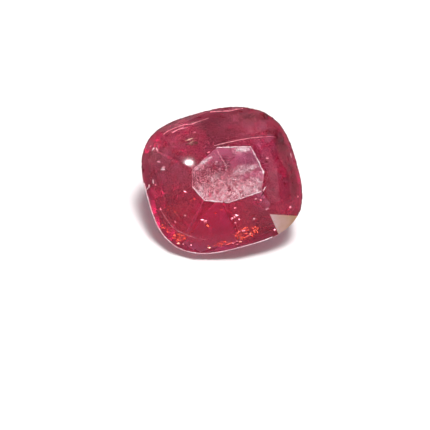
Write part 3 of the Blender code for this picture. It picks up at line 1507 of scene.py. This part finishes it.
@dataclass(frozen=True)
class PittedTable:
    """The fine pits and bruises of one kind that make the table look sanded.

    Args:
        name: What the piece is called.
        tone: What the pits show as.
        strewing: How they are strewn.
        patches: Where the table is pitted.
        margin: Millimetres that the pits keep from the table's edge.
        step: Spacing in millimetres of the grid that carries the cover.
        overhang: Millimetres that the grid stands over the table before it is cut down to it.
        clump_scale: Clumps of pits in a millimetre.
        crumb_scale: Smaller clumps in a millimetre.
        crumb_share: How much the smaller clumps count beside the others.
    """

    name: str
    tone: Tone
    strewing: Strewing
    patches: tuple[Patch, ...]
    margin: float = 0.01
    step: float = 0.05
    overhang: float = 0.2
    clump_scale: float = 5.3
    crumb_scale: float = 10.0
    crumb_share: float = 0.8

    @classmethod
    def kinds(cls) -> list["PittedTable"]:
        """What the table is worn by.

        Returns:
            Its sanded front, its white bruises and its dark specks.
        """
        sanded = (
            Patch((226, 196), (36, 9), 14, 1.15),
            Patch((204, 190), (13, 12), 0, 0.60),
            Patch((250, 188), (13, 9), 50, 1.00),
            Patch((224, 182), (28, 9), 10, 0.85),
            Patch((238, 151), (9, 3.5), 10, 0.50),
            Patch((242, 170), (8, 3.5), 20, 0.80),
            Patch((200, 164.5), (9, 4), 25, 0.80),
            Patch((196, 171), (4, 4), 0, 0.70),
            Patch((214, 166), (20, 10), 0, 0.20),
        )
        bruised = (
            Patch((243, 149.4), (5, 2.0), 5, 4.00),
            Patch((252, 167.6), (4.5, 1.4), 15, 3.60),
            Patch((242, 170.5), (5, 2.2), 20, 1.30),
            Patch((201, 163.4), (8, 1.6), 25, 1.60),
            Patch((226, 198), (36, 5), 14, 0.60),
            Patch((256, 188), (8, 4), 60, 0.80),
            Patch((203, 196), (9, 4), -50, 0.80),
            Patch((222, 182), (26, 9), 10, 0.12),
        )
        return [
            cls("table_pits", Tone.SANDED, Strewing(900.0, 0.008, 0.032, 11), sanded),
            cls("table_bruises", Tone.FROST, Strewing(600.0, 0.012, 0.050, 13), bruised),
            cls("table_specks", Tone.GARNET, Strewing(130.0, 0.008, 0.022, 12), sanded),
        ]

    def cover(self, place: Vector, pixel: Pixel) -> float:
        """How thick the pits lie at a place of the table.

        Args:
            place: The place, in the stone's millimetres.
            pixel: Where the photograph shows it.

        Returns:
            The share of full cover.
        """
        share = sum(patch.share(pixel) for patch in self.patches)
        crumbs = self.crumb_share * noise.noise(place * self.crumb_scale)
        return max(0.0, share * (1.0 + (noise.noise(place * self.clump_scale) + crumbs)))

    def base(self, stone: CutStone, sight: Sight) -> bpy.types.Mesh:
        """A grid over the table that carries the cover.

        Args:
            stone: The stone's dimensions.
            sight: What the camera sees of the stone.

        Returns:
            A mesh in the stone's millimetres, with the attribute "cover" on its points.
        """

        def inside(place: Vector) -> bool:
            """Whether a place is on the table, clear of its edges."""
            return all(
                direction(facet.azimuth).dot(place) <= facet.reach - self.margin
                for facet in stone.table_tier
            )

        half = max(facet.reach for facet in stone.table_tier) + self.overhang
        grid = cover_grid(half, self.step, inside)
        cover = grid.verts.layers.float["cover"]
        for corner in grid.verts:
            corner.co.z = stone.crown_height
            corner[cover] = self.cover(corner.co, sight.pixel(corner.co))
        return as_mesh(grid, "table_grid")

    def build(self, stone: CutStone, sight: Sight, setting: Setting) -> bpy.types.Object:
        """Makes the pits, as one piece.

        Args:
            stone: The stone's dimensions.
            sight: What the camera sees of the stone.
            setting: Where the stone lies.

        Returns:
            The piece.
        """
        return self.strewing.build(self.name, self.base(stone, sight), self.tone, setting)


class Wear(Enum):
    """How an edge or a scratch is worn, or a rim painted: its radius in millimetres, how far it wavers, and
    its tone.
    """

    BRUISED = (0.034, 0.45, Tone.FROST)
    CHIPPED = (0.030, 0.90, Tone.FROST)
    FINE = (0.020, 0.80, Tone.FROST)
    SCRATCHED = (0.026, 0.70, Tone.ROSE)
    ROSY = (0.020, 0.60, Tone.ROSE)
    FAINT = (0.010, 0.80, Tone.ROSE)
    # A pale cord along the lower girdle: painted highlight, the edge catching the light.
    RIM = (0.032, 0.30, Tone.FROST)
    # A dark cord along the far girdle: painted shade, the girdle seen dark through the crown.
    SHADED = (0.026, 0.50, Tone.GARNET)


@dataclass(frozen=True)
class WornLine:
    """A scratch, or a stretch of edge along which the polish is gone.

    Args:
        wear: How it is worn.
        pixels: The places in the photograph that it runs through.
    """

    wear: Wear
    pixels: tuple[Pixel, ...]


@dataclass(frozen=True)
class WornEdges:
    """The lines on the stone: worn table edges, scratches, and a painted light and a painted dark rim.

    Args:
        step: Millimetres between the points of a line.
        waver: Millimetres that a line strays to either side.
        seed: Which of many like patterns it is.
        rim_steps: How many straight steps the line along a rim starts with.
        rim_reach: Share of the girdle's outline at which that line runs.
        rims: Azimuths in degrees between which the painted rims run along the girdle's edge.
        table_edges: The wear on the table's edge with each facet of the table tier, by azimuth.
        lines: The other lines, by their pixels in the photograph.
    """

    # Turns of a line in a millimetre, and what brings a Noise Texture's middle half to its full waver.
    STRAY_SCALE: ClassVar[float] = 5.0
    STRAY_GAIN: ClassVar[float] = 4.0
    # Swellings in a millimetre, what scales them, and the mean and the least thickness of a line,
    # where its radius counts as 1.
    SWELL_SCALE: ClassVar[float] = 7.0
    SWELL_GAIN: ClassVar[float] = 5.0
    MEAN_THICKNESS: ClassVar[float] = 0.9
    LEAST_THICKNESS: ClassVar[float] = 0.12
    # Sides of a line's section.
    SIDES: ClassVar[int] = 5

    step: float = 0.03
    waver: float = 0.008
    seed: int = 5
    rim_steps: int = 90
    rim_reach: float = 0.998
    rims: dict[Wear, tuple[float, float]] = field(
        default_factory=lambda: {Wear.RIM: (168.0, 296.0), Wear.SHADED: (-38.0, 158.0)}
    )
    table_edges: dict[float, Wear] = field(
        default_factory=lambda: {
            206: Wear.BRUISED, 250: Wear.CHIPPED, 274: Wear.CHIPPED, 337: Wear.FAINT, 12: Wear.CHIPPED,
            77: Wear.CHIPPED, 165: Wear.FAINT,
        }
    )
    lines: tuple[WornLine, ...] = (
        WornLine(Wear.ROSY, ((217, 150), (219.3, 154.5), (222, 159.5), (225, 164), (227, 167.5))),
        WornLine(Wear.ROSY, ((210, 112), (220, 111.4), (230, 110.9), (236, 109.4), (243, 108.4))),
        WornLine(Wear.ROSY, ((163.5, 134.5), (168, 131), (177, 127), (184, 124.8), (192, 124))),
        WornLine(Wear.SCRATCHED, ((192, 124), (198, 121.8), (208.5, 118))),
        WornLine(Wear.SCRATCHED, ((172, 133), (177, 130), (181, 128.6), (188, 127.6))),
        WornLine(Wear.ROSY, ((214, 145.8), (227, 142.6), (240, 139.8), (250, 138), (262, 137))),
        WornLine(Wear.FAINT, ((262, 137), (269, 136.4), (276, 137.4))),
        WornLine(Wear.FINE, ((270.6, 214.8), (274, 221), (277.6, 228), (280, 232))),
        WornLine(Wear.FINE, ((256.5, 159), (259, 164), (262, 170), (263.3, 174))),
        WornLine(
            Wear.FAINT,
            (
                (160, 208), (163, 214), (167, 220), (172, 226.5),
                (178, 231), (186, 234.5), (195, 238), (206, 239.5),
            ),
        ),
    )

    def routes(
        self, stone: CutStone, sharp: bmesh.types.BMesh, sight: Sight
    ) -> dict[Wear, list[list[Vector]]]:
        """The points of each line, gathered by how it is worn.

        Args:
            stone: The stone's dimensions.
            sharp: Its mesh before its edges were worn.
            sight: What the camera sees of the stone.

        Returns:
            Lists of points in the stone's millimetres.
        """
        found: dict[Wear, list[list[Vector]]] = {wear: [] for wear in Wear}
        up = Vector((0, 0, 1))
        for facet in stone.table_tier:
            if facet.azimuth in self.table_edges:
                ends = stone.meeting(sharp, up, facet.outward(1))
                found[self.table_edges[facet.azimuth]].append(ends)
        for line in self.lines:
            found[line.wear].append([sight.touch(pixel)[0] for pixel in line.pixels])
        for wear, span in self.rims.items():
            first, last = (math.radians(angle) for angle in span)
            angles = [first + (last - first) * step / self.rim_steps for step in range(self.rim_steps + 1)]
            rim = [stone.outline_point(angle) * self.rim_reach for angle in angles]
            found[wear].append([stone.crown_at(place) for place in rim])
        return found

    def tree(self, wear: Wear, material: bpy.types.Material) -> bpy.types.NodeTree:
        """The Geometry Nodes tree that lays a ragged cord of bruises, or of painted light or shade, along
        each line.

        Args:
            wear: How the lines are worn.
            material: Their finish.

        Returns:
            The tree, for a mesh of edges.
        """
        inputs = {
            "Radius": "NodeSocketFloat",
            "Unevenness": "NodeSocketFloat",
            "Step": "NodeSocketFloat",
            "Waver": "NodeSocketFloat",
            "Seed": "NodeSocketFloat",
        }
        wiring, given, result = new_tree(f"worn_line_{wear.name.lower()}", inputs)
        curve = wiring.node("GeometryNodeMeshToCurve", {"Mesh": given.outputs["Geometry"]}).outputs["Curve"]
        steps = {"Curve": curve, "Length": given.outputs["Step"]}
        even = wiring.node("GeometryNodeResampleCurve", steps, mode="LENGTH")
        place = wiring.node("GeometryNodeInputPosition").outputs["Position"]
        shift = wiring.node("ShaderNodeVectorMath", {0: place, 1: given.outputs["Seed"]}).outputs["Vector"]
        wander = {"Vector": shift, "Scale": self.STRAY_SCALE}
        stray = wiring.node("ShaderNodeTexNoise", wander).outputs["Color"]
        sides = {0: stray, 1: (NOISE_MIDDLE,) * 3}
        middle = wiring.node("ShaderNodeVectorMath", sides, operation="SUBTRACT").outputs["Vector"]
        scaled = {0: middle, "Scale": wiring.math("MULTIPLY", given.outputs["Waver"], self.STRAY_GAIN)}
        offset = wiring.node("ShaderNodeVectorMath", scaled, operation="SCALE").outputs["Vector"]
        moves = {"Geometry": even.outputs["Curve"], "Offset": offset}
        moved = wiring.node("GeometryNodeSetPosition", moves)
        rough = wiring.math("SUBTRACT", wiring.noise(shift, self.SWELL_SCALE, UNEVEN), NOISE_MIDDLE)
        swelling = wiring.math("MULTIPLY", given.outputs["Unevenness"], self.SWELL_GAIN)
        swell = wiring.math("MULTIPLY_ADD", rough, swelling, self.MEAN_THICKNESS)
        share = wiring.math("MAXIMUM", swell, self.LEAST_THICKNESS)
        section = {"Resolution": self.SIDES, "Radius": 1.0}
        profile = wiring.node("GeometryNodeCurvePrimitiveCircle", section)
        solid = wiring.node(
            "GeometryNodeCurveToMesh",
            {
                "Curve": moved.outputs["Geometry"],
                "Profile Curve": profile.outputs["Curve"],
                "Scale": wiring.math("MULTIPLY", given.outputs["Radius"], share),
                "Fill Caps": True,
            },
        )
        return finish_tree(wiring, solid.outputs["Mesh"], material, result)

    def build(
        self, stone: CutStone, sharp: bmesh.types.BMesh, sight: Sight, setting: Setting
    ) -> list[bpy.types.Object]:
        """Makes the worn lines and the painted rims, one piece for each kind.

        Args:
            stone: The stone's dimensions.
            sharp: Its mesh before its edges were worn.
            sight: What the camera sees of the stone.
            setting: Where the stone lies.

        Returns:
            The pieces.
        """
        pieces = []
        for wear, routes in self.routes(stone, sharp, sight).items():
            base = bpy.data.meshes.new("worn_route")
            points = [tuple(point) for route in routes for point in route]
            pairs, start = [], 0
            for route in routes:
                pairs += [(start + step, start + step + 1) for step in range(len(route) - 1)]
                start += len(route)
            base.from_pydata(points, pairs, [])
            radius, unevenness, tone = wear.value
            values = {
                "Radius": radius, "Unevenness": unevenness, "Step": self.step, "Waver": self.waver,
                "Seed": float(self.seed),
            }
            tree = self.tree(wear, tone.material(setting))
            name = f"worn_edges_{wear.name.lower()}"
            piece = grown(name, base, tree, values, setting.place)
            shape = bmesh.new()
            shape.from_mesh(piece.data)
            bmesh.ops.recalc_face_normals(shape, faces=shape.faces)
            shape.to_mesh(piece.data)
            shape.free()
            pieces.append(piece)
        return pieces


@dataclass(frozen=True)
class BeigeLightCorner:
    """A thin beige skin on a small corner facet: painted light, for the pale beige light that the facet
    shows.

    Args:
        azimuth: The facet's, in the outer tier of the crown.
        thickness: Millimetres.
        inset: Share of the facet that stays bare round the skin's rim.
        pale: Its colour at one end.
        dark: Its colour at the darker end.
        darkens_toward: The direction, in the stone, in which the painted light gets darker.
        darkens_between: Millimetres that way at which the darkening starts and is full.
        stray: Millimetres that the darkening's border strays.
        patch_scale: Patches of the darkening in a millimetre.
        grain_scale: Grains of its surface in a millimetre.
        grain_span: Between which values of their pattern the grains get rougher.
        grain_depth: Their depth in millimetres.
        grain_strength: How much of them shows.
        rough: Roughness of the smoothest grains.
        rougher: How much rougher the others are.
    """

    azimuth: float = 292.5
    thickness: float = 0.02
    inset: float = 0.03
    # Painted light: the pale and the darker beige that the facet shows.
    pale: Colour = (1.0, 0.68, 0.65)
    dark: Colour = (0.76, 0.46, 0.28)
    darkens_toward: tuple[float, float, float] = (0.967, -0.255, 0.0)
    darkens_between: tuple[float, float] = (2.45, 3.45)
    stray: float = 1.2
    patch_scale: float = 2.6
    grain_scale: float = 12.0
    grain_span: tuple[float, float] = (0.3, 0.7)
    grain_depth: float = 0.003
    grain_strength: float = 0.5
    rough: float = 0.45
    rougher: float = 0.2

    def material(self, setting: Setting) -> bpy.types.Material:
        """Builds the skin's material, pale at one end and darker at the other: painted light.

        Args:
            setting: Where the stone lies.

        Returns:
            The material.
        """
        material, wiring, surface = new_material("painted_light_skin")
        place = setting.millimetres(wiring)
        across = wiring.along(place, self.darkens_toward)
        patchy = wiring.math("SUBTRACT", wiring.noise(place, self.patch_scale, UNEVEN), NOISE_MIDDLE)
        strayed = wiring.math("MULTIPLY_ADD", patchy, self.stray, across)
        darkening = wiring.remap(strayed, self.darkens_between, (0.0, 1.0))
        grain = wiring.noise(place, self.grain_scale, UNEVEN)
        rough = wiring.remap(grain, self.grain_span, (self.rough, self.rough + self.rougher))
        # Painted light: the skin's beige, pale to darker across the facet.
        wiring.link(wiring.blend(darkening, self.pale, self.dark), surface, "Base Color")
        wiring.link(rough, surface, "Roughness")
        wiring.link(wiring.relief(self.grain_strength, self.grain_depth, grain), surface, "Normal")
        return material

    def build(self, stone: CutStone, sharp: bmesh.types.BMesh, setting: Setting) -> bpy.types.Object:
        """Makes the skin, half sunk in the stone.

        Args:
            stone: The stone's dimensions.
            sharp: Its mesh before its edges were worn.
            setting: Where the stone lies.

        Returns:
            The piece.
        """
        outward = next(f for f in stone.girdle_tier if f.azimuth == self.azimuth).outward(1)
        sharp.normal_update()
        flat = max(sharp.faces, key=lambda face: face.normal.dot(outward))
        middle = flat.calc_center_median()
        rim = [middle.lerp(corner.co, 1 - self.inset) for corner in flat.verts]
        skin = bmesh.new()
        top = [skin.verts.new(place + outward * self.thickness / 2) for place in rim]
        bottom = [skin.verts.new(place - outward * self.thickness / 2) for place in rim]
        skin.faces.new(top)
        skin.faces.new(bottom[::-1])
        count = len(rim)
        for step in range(count):
            after = (step + 1) % count
            skin.faces.new((top[step], bottom[step], bottom[after], top[after]))
        bmesh.ops.recalc_face_normals(skin, faces=skin.faces)
        skin.transform(setting.place)
        return as_piece(skin, "painted_light_corner", self.material(setting))


@dataclass(frozen=True)
class MacroCamera:
    """A camera with a long lens that looks at the stone nearly square to its table.

    Args:
        azimuth: Degrees round the stone; 0 looks along +Y.
        elevation: Degrees above the floor.
        roll: Degrees that the camera's right side is raised.
        lens: Focal length in millimetres.
        sensor: Sensor width in millimetres.
        frame_width: Width of the frame at the girdle, in millimetres.
        aim: Where the frame's middle lies from the girdle's centre, right and up, in millimetres.
        sees_between: Nearest and farthest that it sees, in metres.
    """

    azimuth: float = -6.67
    elevation: float = 47.82
    roll: float = 10.18
    lens: float = 120.0
    sensor: float = 36.0
    frame_width: float = 21.29
    aim: tuple[float, float] = (-0.347, -1.762)
    sees_between: tuple[float, float] = (0.001, 10.0)

    def back(self) -> Vector:
        """World direction from the stone to the camera."""
        around, above = math.radians(self.azimuth), math.radians(self.elevation)
        return Vector(
            (math.sin(around) * math.cos(above), -math.cos(around) * math.cos(above), math.sin(above))
        )

    def build(self, setting: Setting) -> bpy.types.Object:
        """Adds the camera and makes it the scene's.

        Args:
            setting: Where the stone lies.

        Returns:
            The camera object.
        """
        back = self.back()
        level = Vector((0, 0, 1)).cross(back).normalized()
        right = Matrix.Rotation(math.radians(self.roll), 3, back) @ level
        up = back.cross(right)
        data = bpy.data.cameras.new("macro_camera")
        data.lens = self.lens
        data.sensor_width = self.sensor
        data.clip_start, data.clip_end = self.sees_between
        camera = bpy.data.objects.new("macro_camera", data)
        distance = self.lens * self.frame_width / self.sensor * METRES_PER_MM
        aim = setting.point(0, 0, 0) + (right * self.aim[0] + up * self.aim[1]) * METRES_PER_MM
        turn = Matrix((right, up, back)).transposed().to_4x4()
        camera.matrix_world = Matrix.Translation(aim + back * distance) @ turn
        bpy.context.scene.collection.objects.link(camera)
        bpy.context.scene.camera = camera
        bpy.context.view_layer.update()
        return camera


@dataclass(frozen=True)
class Glow:
    """A soft light in the room, brightest at its middle and fading evenly round it.

    Args:
        bearing: Degrees, 0 behind the stone and 90 to its right.
        elevation: Degrees above the floor.
        radiance: Brightness at its middle, where 1 is the white of the frame.
        sharpness: How quickly it fades; 20 halves it 15 degrees from the middle.
        colour: Its colour; the room's own is a little rosy.
    """

    bearing: float
    elevation: float
    radiance: float
    sharpness: float = 20.0
    colour: Colour = (1.0, 0.80, 0.86)

    def toward(self) -> Vector:
        """Where the glow is.

        Returns:
            World direction from the stone to its middle.
        """
        around, above = math.radians(self.bearing), math.radians(self.elevation)
        level = math.cos(above)
        return Vector((math.sin(around) * level, math.cos(around) * level, math.sin(above)))

    def add(
        self, wiring: Wiring, place: bpy.types.NodeSocket, below: bpy.types.NodeSocket
    ) -> bpy.types.NodeSocket:
        """Adds the nodes for this glow on top of another light.

        Args:
            wiring: The room's nodes.
            place: The socket with the direction that is looked in.
            below: The socket with the light so far.

        Returns:
            The socket with the light and this glow.
        """
        nearness = wiring.along(place, self.toward())
        fall = wiring.math("MULTIPLY_ADD", nearness, self.sharpness, -self.sharpness)
        strength = tuple(channel * self.radiance for channel in self.colour)
        faded = {0: strength, "Scale": wiring.math("EXPONENT", fall)}
        glow = wiring.node("ShaderNodeVectorMath", faded, operation="SCALE")
        return wiring.node("ShaderNodeVectorMath", {0: below, 1: glow.outputs["Vector"]}).outputs["Vector"]


@dataclass(frozen=True)
class Lamp:
    """A small lamp that one flat throws into the camera as a highlight.

    Args:
        pixel: Where the photograph shows the highlight.
        distance: Metres from the stone.
        size: Width and height in metres.
        radiance: Its brightness.
    """

    pixel: Pixel = (189.0, 162.6)
    distance: float = 0.30
    size: tuple[float, float] = (0.0018, 0.0007)
    radiance: float = 60.0

    def build(self, sight: Sight, setting: Setting) -> bpy.types.Object:
        """Adds the lamp where the flat at its pixel mirrors it.

        Args:
            sight: What the camera sees of the stone.
            setting: Where the stone lies.

        Returns:
            The lamp.
        """
        point, normal = sight.touch(self.pixel)
        back = (sight.eye - point).normalized()
        toward = setting.along(normal * 2 * normal.dot(back) - back)
        right = sight.turn @ Vector((1, 0, 0))
        wide = setting.along(right - normal * 2 * normal.dot(right))
        data = bpy.data.lights.new("highlight_lamp", "AREA")
        data.shape = "ELLIPSE"
        data.size, data.size_y = self.size
        data.energy = self.radiance * math.pi * self.size[0] * self.size[1]
        lamp = bpy.data.objects.new("highlight_lamp", data)
        across = (wide - toward * wide.dot(toward)).normalized()
        turn = Matrix((across, toward.cross(across), toward)).transposed().to_4x4()
        lamp.matrix_world = Matrix.Translation(setting.point(*point) + toward * self.distance) @ turn
        bpy.context.scene.collection.objects.link(lamp)
        return lamp


@dataclass(frozen=True)
class Studio:
    """The pale floor and the soft lights round the stone.

    Args:
        floor_size: Width of the floor in metres.
        floor_colour: Its colour.
        floor_mirrored: Its colour as the facets mirror it: painted shade, darker than the floor that the
            camera sees, so that its white doesn't wash the stone's own colour out.
        floor_rough: Its roughness.
        floor_gloss: Its specular level.
        bounces: How often light may pass through a surface on its way.
        glossy_bounces: How often it may be mirrored.
        base: Brightness of the room away from its lights.
        glows: The room's soft lights, the strongest first.
    """

    floor_size: float = 1.6
    floor_colour: Colour = (0.93, 0.925, 0.92)
    floor_mirrored: Colour = (0.24, 0.21, 0.22)
    floor_rough: float = 0.9
    floor_gloss: float = 0.2
    bounces: int = 32
    glossy_bounces: int = 16
    base: Colour = (0.02, 0.02, 0.02)
    glows: tuple[Glow, ...] = (
        Glow(45, 86.5, 57.0, 110.0, (1.0, 1.0, 1.0)),
        Glow(-63, 81, 0.3),
        Glow(42, 58, 0.4),
        Glow(180, 56, 0.3),
        Glow(-160, 40, 0.9),
        Glow(135, 25, 0.8),
        Glow(-120, 42, 0.4),
        Glow(-3, 26, 0.9),
        Glow(-68, 12, 0.55),
        Glow(167, 32, 0.3),
        Glow(17, 15, 0.4),
        Glow(-15, 8, 0.35),
    )

    def floor(self) -> bpy.types.Object:
        """Adds the floor.

        Returns:
            The floor, marked as stage.
        """
        sheet = bmesh.new()
        bmesh.ops.create_grid(sheet, x_segments=1, y_segments=1, size=self.floor_size / 2)
        material, wiring, surface = new_material("pale_floor")
        # Painted shade: the facets mirror a darker floor than the camera sees.
        mirrored = wiring.node("ShaderNodeLightPath").outputs["Is Reflection Ray"]
        colour = wiring.blend(mirrored, self.floor_colour, self.floor_mirrored)
        wiring.link(colour, surface, "Base Color")
        surface.inputs["Roughness"].default_value = self.floor_rough
        surface.inputs["Specular IOR Level"].default_value = self.floor_gloss
        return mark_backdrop(as_piece(sheet, "studio_floor", material))

    def room(self) -> None:
        """Sets the light that comes from all round."""
        world = bpy.data.worlds.new("studio_room")
        bpy.context.scene.world = world
        world.use_nodes = True
        wiring = Wiring(world.node_tree)
        place = wiring.node("ShaderNodeTexCoord").outputs["Generated"]
        light = wiring.node("ShaderNodeVectorMath", {0: self.base}).outputs["Vector"]
        for glow in self.glows:
            light = glow.add(wiring, place, light)
        background = wiring.tree.nodes["Background"]
        wiring.link(light, background, "Color")
        background.inputs["Strength"].default_value = 1.0

    def build(self) -> None:
        """Adds the floor and the room's light, and sets how light is followed and shown."""
        self.floor()
        self.room()
        scene = bpy.context.scene
        scene.view_settings.view_transform = "Standard"
        scene.cycles.max_bounces = self.bounces
        scene.cycles.transmission_bounces = self.bounces
        scene.cycles.glossy_bounces = self.glossy_bounces


def main() -> None:
    """Builds the stone, what wear and nature left in it, and its studio, and reports each piece."""
    logging.basicConfig(level=logging.INFO, format="%(name)s: %(message)s")
    stone = CutStone()
    sharp = stone.cut()
    setting = Setting.under(stone, sharp)
    camera = MacroCamera().build(setting)
    studio = Studio()
    sight = Sight.through(camera, setting, sharp, studio.glows[0].toward())
    body = sharp.copy()
    stone.wear_edges(body)
    body.transform(setting.place)
    bmesh.ops.recalc_face_normals(body, faces=body.faces)
    crystal = as_piece(body, "spinel_stone", CrystalFinish().material(setting))
    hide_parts(STONE_NODE)
    pieces = [crystal, BeigeLightCorner().build(stone, sharp, setting)]
    pieces += Inclusions().build(sight, setting)
    pieces += Cloudiness().build(sight, setting)
    pieces += SilkyBody().build(stone, sight, setting)
    pieces += [pits.build(stone, sight, setting) for pits in PittedTable.kinds()]
    pieces += WornEdges().build(stone, sharp, sight, setting)
    for piece in pieces:
        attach(piece, BODY)
        log.info("%s: %d faces", piece.name, len(piece.data.polygons))
    studio.build()
    Lamp().build(sight, setting)
    sharp.free()


if __name__ == "__main__":
    main()
